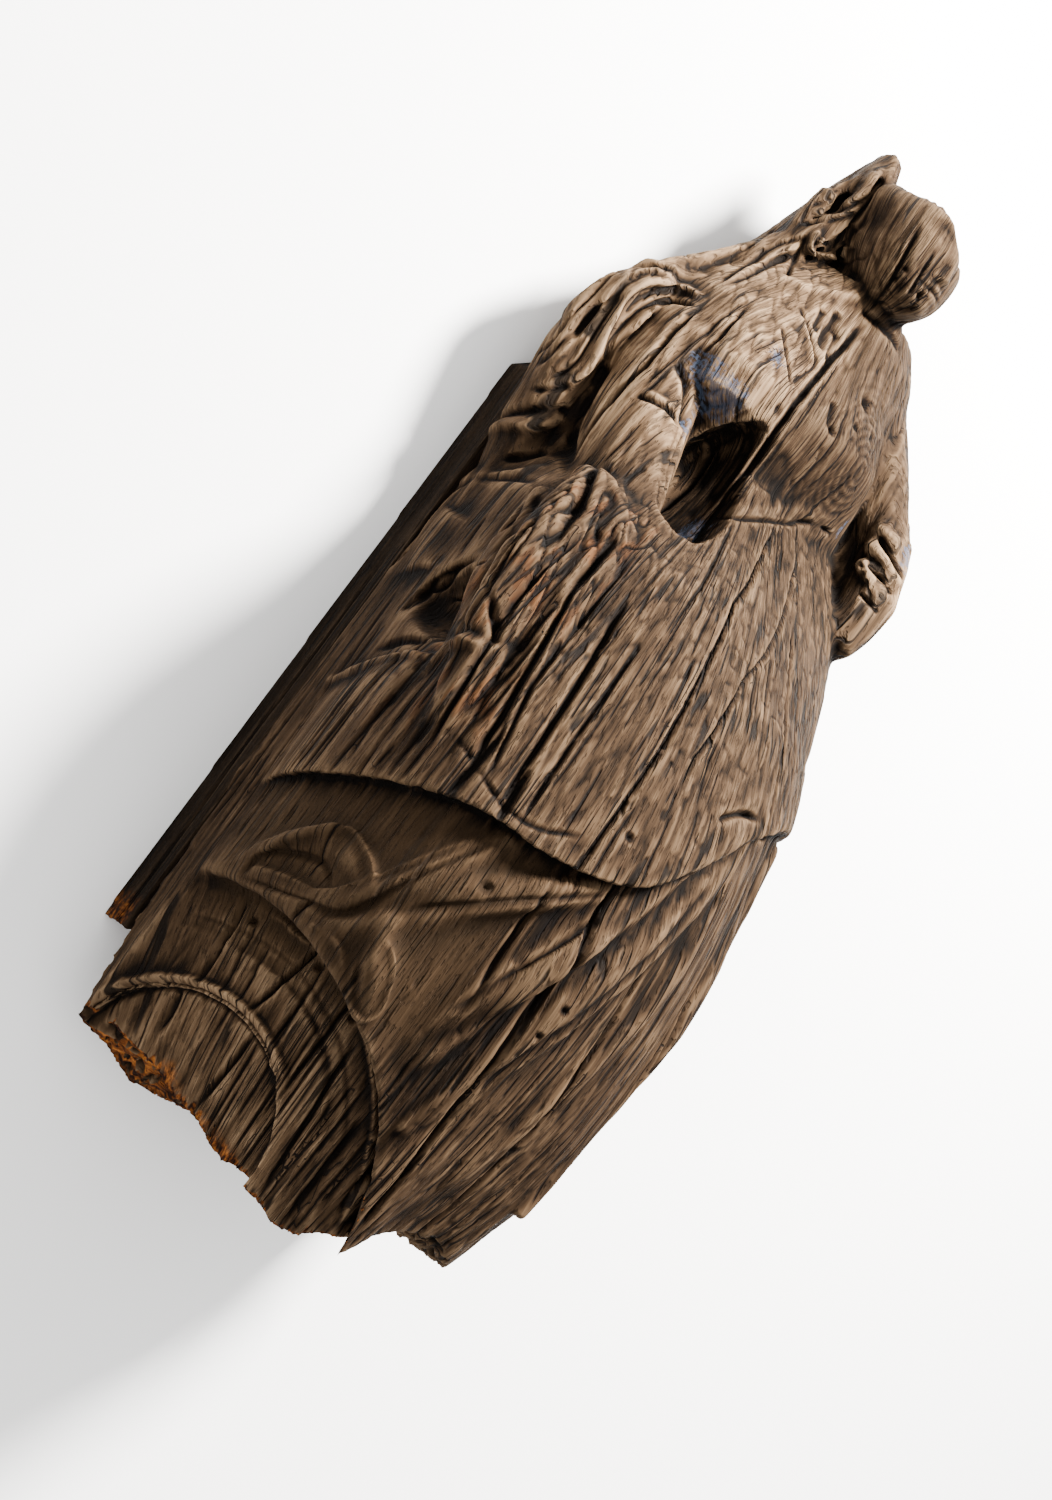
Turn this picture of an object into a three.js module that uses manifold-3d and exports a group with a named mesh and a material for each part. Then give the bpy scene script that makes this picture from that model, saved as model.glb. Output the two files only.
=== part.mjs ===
// A ship's figurehead: a life-size woman carved from one timber, heavily weathered, lying on its
// back. Millimetres, +X to the figure's left, +Y to her head, +Z to her front. The flat back of
// the backing plank is the plane z = 0, and y = 0 is at her hips.
import * as THREE from 'three';
import { mergeVertices } from 'three/addons/utils/BufferGeometryUtils.js';
import Module from 'manifold-3d';

const wasm = await Module();
wasm.setup();

// Driving dimensions
const FOOT = -872;
const PLANK_THICK = 58;
const PLANK_HALF_WIDTH = 292;
const PLANK_TOP = 330;
const PLANK_CORNER = 110;
const PLANK_BREAK = -640;
const PLANK_TEETH = 14;
const SEAM = 0.4;
const GAP_AT_FOOT = 26;
const LEAN = 9;
const BEND_START = 40;
const BEND_END = 330;
const HEAD_TURN = 12;
const HEAD = new THREE.Vector3(54, 666, 160);
const HEAD_HALF = new THREE.Vector3(80, 90, 97);
const HEM_LIFT = 26;
const HIP_HOLLOW = new THREE.Vector3(56, 54, 84);
const WAIST_HOLLOW = new THREE.Vector3(50, 130, 92);
const FOOT_ROT = new THREE.Vector3(104, 92, 112);
const VOLUTE_RADIUS = 268;
const EYE_RADIUS = VOLUTE_RADIUS * 0.5;
const FINGERS = 3;
const FINGER_STEP = 26;

// Small tools for shapes

const lerp = THREE.MathUtils.lerp;
const wave = (x, period, shift = 0) => Math.sin((x / period + shift) * 2 * Math.PI);
const bell = (x, width) => Math.exp(-((x / width) ** 2));
const v3 = (x, y, z) => new THREE.Vector3(x, y, z);

// The value of every key of the stations at height y, on a smooth curve through them
function atHeight(stations, y) {
  const last = stations.length - 1;
  let i = stations.findIndex((station) => station.y > y) - 1;
  if (i < -1) i = last - 1;
  if (i < 0) i = 0;
  const [a, b] = [stations[i], stations[i + 1]];
  const t = THREE.MathUtils.clamp((y - a.y) / (b.y - a.y), 0, 1);
  const before = stations[Math.max(i - 1, 0)];
  const after = stations[Math.min(i + 2, last)];
  const out = {};
  for (const key of Object.keys(a)) {
    const step = b.y - a.y;
    const slopeA = ((b[key] - before[key]) / (b.y - before.y)) * step;
    const slopeB = ((after[key] - a[key]) / (after.y - a.y)) * step;
    const h = [2 * t ** 3 - 3 * t ** 2 + 1, t ** 3 - 2 * t ** 2 + t, 3 * t ** 2 - 2 * t ** 3, t ** 3 - t ** 2];
    out[key] = h[0] * a[key] + h[1] * slopeA + h[2] * b[key] + h[3] * slopeB;
  }
  return out;
}

// A closed skin over rings of points, each with the same count, with a fan over either end
function skin(rings, startTip, endTip) {
  const count = rings[0].length;
  const positions = [];
  const indices = [];
  for (const ring of rings) for (const p of ring) positions.push(p.x, p.y, p.z);
  for (let i = 0; i < rings.length - 1; i++) {
    for (let j = 0; j < count; j++) {
      const a = i * count + j;
      const b = i * count + ((j + 1) % count);
      indices.push(a, a + count, b, b, a + count, b + count);
    }
  }
  const start = positions.length / 3;
  positions.push(startTip.x, startTip.y, startTip.z, endTip.x, endTip.y, endTip.z);
  const lastRing = (rings.length - 1) * count;
  for (let j = 0; j < count; j++) {
    const k = (j + 1) % count;
    indices.push(start, j, k, start + 1, lastRing + k, lastRing + j);
  }
  const geometry = new THREE.BufferGeometry();
  geometry.setAttribute('position', new THREE.Float32BufferAttribute(positions, 3));
  geometry.setIndex(indices);
  return geometry;
}

function centreOf(ring) {
  return ring.reduce((sum, p) => sum.add(p), v3(0, 0, 0)).multiplyScalar(1 / ring.length);
}

// A solid for joining and cutting, turned inside out first if its volume comes out negative
function solid(geometry) {
  const bare = geometry.clone();
  bare.deleteAttribute('normal');
  bare.deleteAttribute('uv');
  const merged = mergeVertices(bare, 1e-3);
  const vertProperties = Float32Array.from(merged.attributes.position.array);
  const triVerts = Uint32Array.from(merged.index.array);
  let volume = 0;
  const [a, b, c] = [v3(0, 0, 0), v3(0, 0, 0), v3(0, 0, 0)];
  for (let i = 0; i < triVerts.length; i += 3) {
    a.fromArray(vertProperties, triVerts[i] * 3);
    b.fromArray(vertProperties, triVerts[i + 1] * 3);
    c.fromArray(vertProperties, triVerts[i + 2] * 3);
    volume += a.dot(b.cross(c));
  }
  if (volume < 0) {
    for (let i = 0; i < triVerts.length; i += 3) {
      [triVerts[i], triVerts[i + 1]] = [triVerts[i + 1], triVerts[i]];
    }
  }
  return new wasm.Manifold(new wasm.Mesh({ numProp: 3, vertProperties, triVerts }));
}

function geometryOf(manifold) {
  const mesh = manifold.getMesh();
  const geometry = new THREE.BufferGeometry();
  geometry.setAttribute('position', new THREE.BufferAttribute(mesh.vertProperties, 3));
  geometry.setIndex(new THREE.BufferAttribute(mesh.triVerts, 1));
  const flat = geometry.toNonIndexed();
  flat.computeVertexNormals();
  return flat;
}

const union = (parts) => parts.reduce((sum, part) => sum.add(part));

// How far a section reaches from its middle at an angle: a soft oval in front, boxy at the back
function reach(s, angle) {
  const [c, n] = [Math.cos(angle), Math.sin(angle)];
  const power = n > 0 ? s.square ?? 2.3 : 4;
  const wide = c > 0 ? s.left : s.right;
  return (Math.abs(c / wide) ** power + Math.abs(n / s.deep) ** power) ** (-1 / power);
}

// One ring across the length, kept in front of the plane where it meets the back
function crossSection(s, backZ, sides, y, lift = () => 0) {
  const ring = [];
  for (let i = 0; i < sides; i++) {
    const angle = (i / sides) * 2 * Math.PI;
    const out = reach(s, angle) + lift(angle, y);
    ring.push(v3(s.x + Math.cos(angle) * out, y, Math.max(s.z + Math.sin(angle) * out, backZ)));
  }
  return ring;
}

// A tapering round limb or lock of hair along a smooth curve, pointed or rounded at its ends
function limb(points, radii, sides, steps, flatten = 1) {
  const curve = new THREE.CatmullRomCurve3(points, false, 'centripetal');
  const frames = curve.computeFrenetFrames(steps, false);
  const rings = [];
  for (let i = 0; i <= steps; i++) {
    const t = i / steps;
    const at = t * (radii.length - 1);
    const k = Math.min(Math.floor(at), radii.length - 2);
    const radius = lerp(radii[k], radii[k + 1], at - k);
    const centre = curve.getPointAt(t);
    const tangent = frames.tangents[i];
    const side = v3(0, 0, 1).cross(tangent).normalize();
    const up = tangent.clone().cross(side).normalize();
    const ring = [];
    for (let j = 0; j < sides; j++) {
      const angle = (j / sides) * 2 * Math.PI;
      ring.push(centre.clone()
        .addScaledVector(side, Math.cos(angle) * radius)
        .addScaledVector(up, Math.sin(angle) * radius * flatten));
    }
    rings.push(ring);
  }
  const startTip = points[0].clone().addScaledVector(frames.tangents[0], -radii[0] * 0.5);
  const endTip = points.at(-1).clone().addScaledVector(frames.tangents[steps], radii.at(-1) * 0.5);
  return solid(skin(rings, startTip, endTip));
}

// The lower block with the skirt on it

const backAt = (y) => PLANK_THICK + SEAM + GAP_AT_FOOT * Math.max(0, -y / -FOOT) ** 1.5;

const SKIRT = [
  { y: FOOT, x: 0, z: 160, right: 280, left: 276, deep: 222 },
  { y: -640, x: 0, z: 165, right: 288, left: 312, deep: 266 },
  { y: -340, x: 0, z: 168, right: 292, left: 320, deep: 290 },
  { y: -10, x: 0, z: 146, right: 288, left: 322, deep: 246 },
  { y: 110, x: 0, z: 136, right: 268, left: 306, deep: 196 },
  { y: 200, x: 6, z: 124, right: 176, left: 286, deep: 150 },
  { y: 300, x: 0, z: 110, right: 120, left: 206, deep: 112 },
];
const SKIRT_SIDES = 40;
const SKIRT_STEP = 74;

// Long soft folds that run down the skirt and open toward the foot
function skirtFolds(angle, y) {
  const open = THREE.MathUtils.smoothstep(-y, -60, 700);
  const turn = angle / Math.PI;
  return open * (9 * wave(turn, 0.23, 0.1 + y / 5200) + 6 * wave(turn, 0.41, 0.3));
}

// The broken foot: where the timber ends, splintered a little differently at every angle
function footEnd(angle) {
  const ragged = 9 * wave(angle, 1.1, 0.2) + 7 * wave(angle, 0.47) + 5 * wave(angle, 0.19, 0.6);
  const from = (centre) => Math.atan2(Math.sin(angle - centre), Math.cos(angle - centre));
  const gone = 190 * bell(from(0.2), 1) + 112 * bell(from(3.45), 0.62) + 90 * bell(from(4.7), 1)
    + 78 * bell(from(1.35), 0.4);
  return FOOT + ragged + gone;
}

function skirtSolid() {
  const rings = [];
  const heights = [];
  for (let y = FOOT + 40; y <= 300; y += SKIRT_STEP) heights.push(y);
  const torn = 4;
  for (const [row, y] of heights.entries()) {
    const ring = crossSection(atHeight(SKIRT, y), backAt(y), SKIRT_SIDES, y, skirtFolds);
    if (row < torn) {
      for (let i = 0; i < SKIRT_SIDES; i++) {
        const end = footEnd((i / SKIRT_SIDES) * 2 * Math.PI);
        ring[i].y = row ? Math.max(y, lerp(end, heights[torn], row / torn)) : end;
      }
    }
    rings.push(ring);
  }
  const hollow = centreOf(rings[0]).add(v3(0, 24, 0));
  return solid(skin(rings, hollow, centreOf(rings.at(-1))));
}

// A point on the skirt at an angle in degrees about its middle, at height y, raised by lift
function onSkirt(degrees, y, lift = 0) {
  const s = atHeight(SKIRT, y);
  const angle = THREE.MathUtils.degToRad(degrees);
  const out = reach(s, angle) + skirtFolds(angle, y) + lift;
  return v3(s.x + Math.cos(angle) * out, y, Math.max(s.z + Math.sin(angle) * out, backAt(y)));
}

function skirtFold(route, radii, flatten = 0.6, lift = 3) {
  const points = route.map(([degrees, y], i) => {
    const atEnd = i === 0 || i === route.length - 1;
    return onSkirt(degrees, y, atEnd ? lift - radii[i] * flatten * 0.7 : lift);
  });
  return limb(points, radii, 7, route.length * 2, flatten);
}

// The overskirt is a second layer from the waist to its hem, which swings up toward the left.
// Over the right hip it starts at a slanting edge, below a hollow.
const OVERSKIRT = [
  { y: -90, hem: -240, top: 0, blunt: 1, lift: -4 },
  { y: -40, hem: -90, top: 40, blunt: 1, lift: 6 },
  { y: 0, hem: -60, top: 60, blunt: 1, lift: 14 },
  { y: 40, hem: -60, top: 90, blunt: 1, lift: 16 },
  { y: 60, hem: -100, top: 100, blunt: 1, lift: HEM_LIFT },
  { y: 75, hem: -180, top: 100, blunt: 1, lift: HEM_LIFT },
  { y: 90, hem: -262, top: 100, blunt: 1, lift: HEM_LIFT },
  { y: 111, hem: -306, top: 90, blunt: 1, lift: HEM_LIFT },
  { y: 131, hem: -315, top: 40, blunt: 1, lift: HEM_LIFT },
  { y: 149, hem: -342, top: -110, blunt: 5, lift: HEM_LIFT },
  { y: 165, hem: -374, top: -178, blunt: 8, lift: HEM_LIFT },
  { y: 180, hem: -400, top: -215, blunt: 8, lift: 12 },
  { y: 195, hem: -408, top: -238, blunt: 4, lift: -4 },
  { y: 270, hem: -240, top: 0, blunt: 1, lift: -4 },
];

function overskirtSolid() {
  const rows = 6;
  const rings = [];
  for (let row = 0; row <= rows; row++) {
    const t = row / rows;
    const ring = [];
    for (let i = 0; i < SKIRT_SIDES; i++) {
      const degrees = (i / SKIRT_SIDES) * 360 - 90;
      const edge = atHeight(OVERSKIRT, degrees);
      const lift = lerp(-8, edge.lift, 1 - (1 - t) ** edge.blunt);
      ring.push(onSkirt(degrees, lerp(edge.top, edge.hem, t), lift));
    }
    rings.push(ring);
  }
  return solid(skin(rings, centreOf(rings[0]), centreOf(rings.at(-1))));
}

// Knotted and hanging drapery below the hem, each fold a route of [degrees, height] on the skirt

function hangingFolds() {
  const folds = [
    skirtFold([[91, -275], [112, -350], [128, -410], [139, -464]], [12, 20, 20, 12]),
    skirtFold(
      [[122, -320], [131, -395], [139, -455], [147, -492], [160, -508], [172, -514]],
      [16, 20, 16, 12, 10, 8]),
    skirtFold([[174, -500], [163, -455], [152, -428], [141, -446]], [8, 20, 24, 14]),
    skirtFold([[133, -466], [129, -520], [126, -560]], [16, 26, 12]),
    skirtFold([[90, -290], [99, -390], [107, -470], [115, -560]], [12, 22, 24, 7]),
    skirtFold([[59, -100], [74, -260], [88, -420], [102, -640]], [14, 26, 30, 10]),
  ];
  for (const degrees of [44, 24, 4]) {
    folds.push(skirtFold([[degrees - 6, -80], [degrees, -300], [degrees + 8, -640]], [16, 26, 10]));
  }
  return union(folds);
}

// Upright splinters under the lost right hand, where the surface has rotted into ridges
function splinters() {
  return union([
    skirtFold([[152, 110], [151, -40], [148, -180], [145, -330]], [64, 66, 54, 20], 0.56, 4),
    skirtFold([[163, 60], [160, -60], [155, -200], [153, -290]], [24, 26, 20, 12], 0.9, 8),
    skirtFold([[153, 80], [151, -60], [148, -180], [146, -320]], [22, 26, 22, 10], 0.9, 20),
    skirtFold([[143, 98], [141, -20], [139, -150], [136, -300]], [20, 22, 20, 10], 0.9, 8),
  ]);
}

// A smooth hollow, to be cut out: a turned ellipsoid
function hollowAt(centre, half, turn, sides, rows) {
  const geometry = new THREE.SphereGeometry(1, sides, rows);
  geometry.scale(half.x, half.y, half.z);
  geometry.rotateZ(turn);
  geometry.translate(centre.x, centre.y, centre.z);
  return solid(geometry);
}

const hipHollow = () => hollowAt(onSkirt(164, -116, 14), HIP_HOLLOW, 0.3, 12, 8);
const footRot = () => hollowAt(v3(-236, -898, 262), FOOT_ROT, 0, 12, 8);
// The deep hollow between the right forearm and the waist
const waistHollow = () => hollowAt(v3(-98, 214, 240), WAIST_HOLLOW, -0.34, 14, 10);

// The volute on the right of the foot: a round face let into the block, with a scroll groove

const VOLUTE_CENTRE = v3(-172, -772, 186);
const VOLUTE_FACE = v3(-0.7, -0.17, 0.67).normalize();

function voluteFrame() {
  const up = v3(0, 1, 0).addScaledVector(VOLUTE_FACE, -VOLUTE_FACE.y).normalize();
  const front = up.clone().cross(VOLUTE_FACE).normalize();
  return { up, front };
}

function voluteDisc(radius, from, to, sides) {
  const geometry = new THREE.CylinderGeometry(radius, radius, to - from, sides);
  const turn = new THREE.Quaternion().setFromUnitVectors(v3(0, 1, 0), VOLUTE_FACE);
  geometry.applyQuaternion(turn);
  const middle = VOLUTE_CENTRE.clone().addScaledVector(VOLUTE_FACE, (from + to) / 2);
  geometry.translate(middle.x, middle.y, middle.z);
  return solid(geometry);
}

function voluteArc(radiusStart, radiusEnd, degreesStart, degreesEnd, rise, thick) {
  const { up, front } = voluteFrame();
  const points = [];
  const steps = 12;
  for (let i = 0; i <= steps; i++) {
    const angle = THREE.MathUtils.degToRad(lerp(degreesStart, degreesEnd, i / steps));
    const radius = lerp(radiusStart, radiusEnd, i / steps);
    points.push(VOLUTE_CENTRE.clone()
      .addScaledVector(up, Math.cos(angle) * radius)
      .addScaledVector(front, Math.sin(angle) * radius)
      .addScaledVector(VOLUTE_FACE, rise));
  }
  return limb(points, [thick * 0.6, thick, thick, thick * 0.6], 6, 14);
}

function carveVolute(body) {
  const face = voluteDisc(VOLUTE_RADIUS, 0, 260, 36);
  const eye = voluteDisc(EYE_RADIUS, -16, 40, 24);
  const rim = voluteArc(VOLUTE_RADIUS + 4, VOLUTE_RADIUS + 4, -20, 70, 4, 9);
  const groove = voluteArc(VOLUTE_RADIUS * 0.78, VOLUTE_RADIUS * 0.72, -30, 70, 2, 6);
  return body.subtract(face).add(rim).subtract(eye).subtract(groove);
}

// Upper body, built upright about the waist and then leaned to the figure's right

const TORSO = [
  { y: 90, x: -10, z: 110, right: 150, left: 200, deep: 120 },
  { y: 190, x: -10, z: 110, right: 134, left: 234, deep: 134 },
  { y: 280, x: -4, z: 105, right: 136, left: 240, deep: 112 },
  { y: 380, x: -2, z: 100, right: 186, left: 222, deep: 120 },
  { y: 465, x: 6, z: 98, right: 188, left: 226, deep: 114 },
  { y: 530, x: 22, z: 96, right: 150, left: 224, deep: 108 },
  { y: 590, x: 44, z: 96, right: 92, left: 152, deep: 98 },
];
const TORSO_BACK = 72;

// Each breast falls off gently above and more steeply below, the left one into the long bodice
const BREASTS = [
  { x: -104, y: 350, wide: 66, above: 104, below: 46, lift: 62 },
  { x: 92, y: 366, wide: 84, above: 88, below: 112, lift: 48 },
];

function breasts(angle, y) {
  if (Math.sin(angle) <= 0) return 0;
  const s = atHeight(TORSO, y);
  const x = s.x + Math.cos(angle) * reach(s, angle);
  return BREASTS.reduce((sum, breast) => {
    const along = bell(y - breast.y, y < breast.y ? breast.below : breast.above);
    return sum + breast.lift * bell(x - breast.x, breast.wide) * along;
  }, 0);
}

function torsoSolid() {
  const rings = [];
  for (let y = 90; y <= 590; y += 41.6) {
    rings.push(crossSection(atHeight(TORSO, y), TORSO_BACK, 28, y, breasts));
  }
  return solid(skin(rings, centreOf(rings[0]), centreOf(rings.at(-1))));
}

function headSolid() {
  const skull = new THREE.SphereGeometry(1, 22, 15);
  const position = skull.attributes.position;
  const p = v3(0, 0, 0);
  const boxy = (value) => Math.sign(value) * Math.abs(value) ** 0.74;
  for (let i = 0; i < position.count; i++) {
    p.fromBufferAttribute(position, i);
    p.set(boxy(p.x), boxy(p.y), boxy(p.z));
    const jaw = THREE.MathUtils.smoothstep(-p.y, 0.1, 1);
    p.x *= 1 - 0.16 * jaw;
    const worn = THREE.MathUtils.smoothstep(0.8 * p.x + 0.6 * p.z, 0.1, 1.1);
    if (p.z > 0) {
      const brow = 0.04 * bell(p.y - 0.2, 0.14) * bell(p.x, 0.7);
      const eyes = 0.06 * bell(p.y - 0.04, 0.13) * (bell(p.x - 0.36, 0.2) + bell(p.x + 0.36, 0.2));
      const nose = 0.07 * bell(p.x, 0.15) * bell(p.y + 0.2, 0.22);
      const chin = 0.16 * bell(p.y + 0.8, 0.25) * bell(p.x, 0.5);
      p.z = Math.min(p.z + brow - eyes + nose + chin, 1.02);
    }
    p.y = Math.min(p.y, 0.69 - 0.6 * worn + 0.05 * wave(p.x, 0.5, 0.2) + 0.03 * wave(p.z, 0.37));
    position.setXYZ(i, p.x * HEAD_HALF.x, p.y * HEAD_HALF.y, p.z * HEAD_HALF.z);
  }
  skull.rotateY(THREE.MathUtils.degToRad(HEAD_TURN));
  skull.translate(HEAD.x, HEAD.y, HEAD.z);
  const neck = limb([v3(30, 500, 112), v3(50, 570, 138), v3(56, 650, 150)], [92, 64, 60], 14, 4);
  return solid(skull).add(neck);
}

// The hair falls from the crown behind the ear, over the shoulder and down the block's right side

const HAIR_FALL = [
  { at: v3(0, 778, 126), wide: 12, high: 26 },
  { at: v3(-14, 715, 118), wide: 34, high: 54 },
  { at: v3(-36, 650, 112), wide: 38, high: 52 },
  { at: v3(-62, 590, 106), wide: 38, high: 48 },
  { at: v3(-94, 530, 98), wide: 40, high: 42 },
  { at: v3(-150, 466, 92), wide: 44, high: 40 },
  { at: v3(-214, 416, 86), wide: 48, high: 42 },
  { at: v3(-252, 344, 86), wide: 46, high: 44 },
  { at: v3(-258, 230, 88), wide: 44, high: 42 },
  { at: v3(-258, 60, 84), wide: 24, high: 20 },
];
const LOCKS = 5;

function hairSolid() {
  const path = HAIR_FALL.map((stop) => stop.at);
  const curve = new THREE.CatmullRomCurve3(path, false, 'centripetal');
  const mass = limb(path, HAIR_FALL.map((stop) => stop.wide), 10, 10, 0.86);
  const parts = [mass];
  for (let k = 0; k < LOCKS; k++) {
    const across = lerp(-0.85, 0.85, k / (LOCKS - 1));
    const rise = Math.sqrt(1 - across ** 2);
    const points = HAIR_FALL.map((stop, i) => {
      const tangent = curve.getTangent(i / (HAIR_FALL.length - 1));
      const side = v3(0, 0, 1).cross(tangent).normalize();
      const sway = 9 * wave(i, 2.6, k * 0.37);
      return stop.at.clone()
        .addScaledVector(side, across * stop.wide + sway)
        .add(v3(0, 0, rise * stop.high * 0.86));
    });
    parts.push(limb(points, [7, 11, 12, 12, 13, 14, 14, 13, 11, 5], 5, 12));
  }
  return union(parts);
}

function rightArm() {
  const shoulderToWrist = [
    v3(-88, 470, 116), v3(-128, 410, 130), v3(-166, 330, 144),
    v3(-178, 240, 168), v3(-178, 150, 198), v3(-178, 24, 236),
  ];
  return limb(shoulderToWrist, [66, 72, 68, 66, 64, 58], 12, 8);
}

// The left arm bends across a waist that isn't parted from it, so no daylight shows between them
function leftArm() {
  const upper = limb([v3(176, 500, 112), v3(218, 418, 144), v3(258, 332, 180)], [62, 58, 50], 10, 4);
  const fore = limb([v3(258, 342, 180), v3(270, 272, 200), v3(246, 192, 216)], [50, 46, 30], 10, 4);
  const waist = limb([v3(200, 392, 104), v3(216, 290, 124), v3(222, 170, 140)], [62, 66, 72], 8, 3);
  const fingers = [];
  for (let i = 0; i < FINGERS; i++) {
    const y = 330 - i * FINGER_STEP;
    fingers.push(limb([v3(214, y + 14, 214), v3(256, y + 6, 226), v3(290, y - 12, 206)], [11, 13, 9], 6, 3));
  }
  return union([upper, fore, waist, ...fingers]);
}

// The body leans to its right above the hips: everything above BEND_START turns on a smooth arc
function lean(part) {
  const full = THREE.MathUtils.degToRad(LEAN);
  const span = BEND_END - BEND_START;
  return part.warp((v) => {
    if (v[1] <= BEND_START) return;
    const turn = full * Math.min((v[1] - BEND_START) / span, 1);
    const beyond = Math.max(v[1] - BEND_END, 0);
    const arc = span / full;
    const lineX = -arc * (1 - Math.cos(turn)) - beyond * Math.sin(full);
    const lineY = BEND_START + arc * Math.sin(turn) + beyond * Math.cos(full);
    const x = v[0];
    v[0] = lineX + x * Math.cos(turn);
    v[1] = lineY + x * Math.sin(turn);
  });
}

// The uncarved block behind the body, wide enough for the hair to lie on
function backBlock() {
  const stations = [
    { y: -130, x: -4, z: 100, right: 284, left: 276, deep: 50 },
    { y: 60, x: -4, z: 100, right: 290, left: 276, deep: 66 },
    { y: 260, x: -30, z: 94, right: 262, left: 230, deep: 60 },
    { y: 380, x: -60, z: 86, right: 222, left: 180, deep: 34 },
    { y: 430, x: -60, z: 84, right: 150, left: 130, deep: 26 },
  ];
  const rings = [];
  for (let y = -130; y <= 430; y += 70) {
    rings.push(crossSection({ ...atHeight(stations, y), square: 4 }, PLANK_THICK + SEAM, 20, y));
  }
  return solid(skin(rings, centreOf(rings[0]), centreOf(rings.at(-1))));
}

// The room that the plank takes, so that the timber is flat where it meets the plank
function plankRoom() {
  const side = -4 * FOOT;
  const depth = 200;
  const geometry = new THREE.BoxGeometry(side, side, depth);
  geometry.translate(0, 0, PLANK_THICK + SEAM - depth / 2);
  return solid(geometry);
}

const skirts = carveVolute(union([skirtSolid(), overskirtSolid(), hangingFolds()]).subtract(hipHollow()));
const trunk = union([skirts.subtract(footRot()), torsoSolid()]).subtract(waistHollow());
const body = union([trunk, splinters(), rightArm(), leftArm()]);
const figure = lean(union([body, headSolid(), hairSolid()])).add(backBlock()).subtract(plankRoom());

// The backing plank, its top corners cut off and its lower end broken off short above the foot

function plankSolid() {
  const outline = new THREE.Shape();
  const breakRight = -PLANK_HALF_WIDTH + 14;
  outline.moveTo(-PLANK_HALF_WIDTH + PLANK_CORNER, PLANK_TOP);
  outline.lineTo(-PLANK_HALF_WIDTH, PLANK_TOP - PLANK_CORNER);
  outline.lineTo(breakRight, PLANK_BREAK);
  for (let i = 1; i < PLANK_TEETH; i++) {
    const x = lerp(breakRight, PLANK_HALF_WIDTH, i / PLANK_TEETH);
    outline.lineTo(x, PLANK_BREAK + 10 + 14 * wave(i, 3.1) + 9 * wave(i, 1.9, 0.3));
  }
  outline.lineTo(PLANK_HALF_WIDTH, PLANK_BREAK + 12);
  outline.lineTo(PLANK_HALF_WIDTH, PLANK_TOP - PLANK_CORNER);
  outline.lineTo(PLANK_HALF_WIDTH - PLANK_CORNER, PLANK_TOP);
  outline.closePath();
  return solid(new THREE.ExtrudeGeometry(outline, { depth: PLANK_THICK, bevelEnabled: false }));
}

const oldWood = new THREE.MeshStandardMaterial({ color: 0xa8927a, roughness: 0.9, metalness: 0 });
const plankWood = new THREE.MeshStandardMaterial({ color: 0x8a7766, roughness: 0.92, metalness: 0 });

const figurehead = new THREE.Mesh(geometryOf(figure), oldWood);
figurehead.name = 'figurehead';
const plank = new THREE.Mesh(geometryOf(plankSolid()), plankWood);
plank.name = 'back_plank';

const part = new THREE.Group();
part.add(figurehead, plank);
export default part;
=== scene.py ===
import math
import bmesh
import bpy
import numpy as np
from mathutils import Matrix, Vector
from mathutils.bvhtree import BVHTree


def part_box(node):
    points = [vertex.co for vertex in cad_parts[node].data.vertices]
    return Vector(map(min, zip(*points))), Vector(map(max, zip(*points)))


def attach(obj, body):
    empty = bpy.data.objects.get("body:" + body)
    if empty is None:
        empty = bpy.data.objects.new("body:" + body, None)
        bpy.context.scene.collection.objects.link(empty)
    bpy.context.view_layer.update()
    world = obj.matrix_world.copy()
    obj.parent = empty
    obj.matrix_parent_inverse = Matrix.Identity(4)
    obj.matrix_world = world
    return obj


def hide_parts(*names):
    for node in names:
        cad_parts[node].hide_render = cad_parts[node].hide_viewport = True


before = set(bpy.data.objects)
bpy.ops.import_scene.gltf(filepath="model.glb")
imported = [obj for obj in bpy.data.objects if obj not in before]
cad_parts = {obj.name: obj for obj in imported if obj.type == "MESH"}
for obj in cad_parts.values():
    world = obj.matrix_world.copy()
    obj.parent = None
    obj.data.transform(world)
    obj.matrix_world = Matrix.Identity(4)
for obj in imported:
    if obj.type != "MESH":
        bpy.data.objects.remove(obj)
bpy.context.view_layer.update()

# The carved timber
# One softwood baulk with a flat back, carved and once painted, now bare, brown-grey and split along
# its grain. A fine closed skin takes its solid's form, and the carving and the weather are cut into
# that skin.

TO_MM = 1000.0
SKIN_STEP = 2.6
MOST_TRIANGLES = 197000
PITH_Z = 165.0


def fine_skin(node, name, step):
    """A new piece: the node's solid as one closed skin with a point every step millimetres"""
    mesh = node.data.copy()
    welded = bmesh.new()
    welded.from_mesh(mesh)
    bmesh.ops.remove_doubles(welded, verts=welded.verts, dist=1e-6)
    welded.to_mesh(mesh)
    welded.free()
    piece = bpy.data.objects.new(name, mesh)
    bpy.context.scene.collection.objects.link(piece)
    remesh = piece.modifiers.new("skin", "REMESH")
    remesh.mode = "VOXEL"
    remesh.voxel_size = step / TO_MM
    settle(piece)
    return piece


def settle(piece):
    """Makes the piece's modifiers part of its mesh"""
    graph = bpy.context.evaluated_depsgraph_get()
    made = bpy.data.meshes.new_from_object(piece.evaluated_get(graph))
    piece.modifiers.clear()
    piece.data = made


def read_points(piece):
    flat = np.empty(len(piece.data.vertices) * 3)
    piece.data.vertices.foreach_get("co", flat)
    return flat.reshape(-1, 3) * TO_MM


def read_normals(piece):
    flat = np.empty(len(piece.data.vertices) * 3)
    piece.data.vertices.foreach_get("normal", flat)
    return flat.reshape(-1, 3)


def write_points(piece, points):
    piece.data.vertices.foreach_set("co", (points / TO_MM).ravel())
    piece.data.update()


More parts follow.
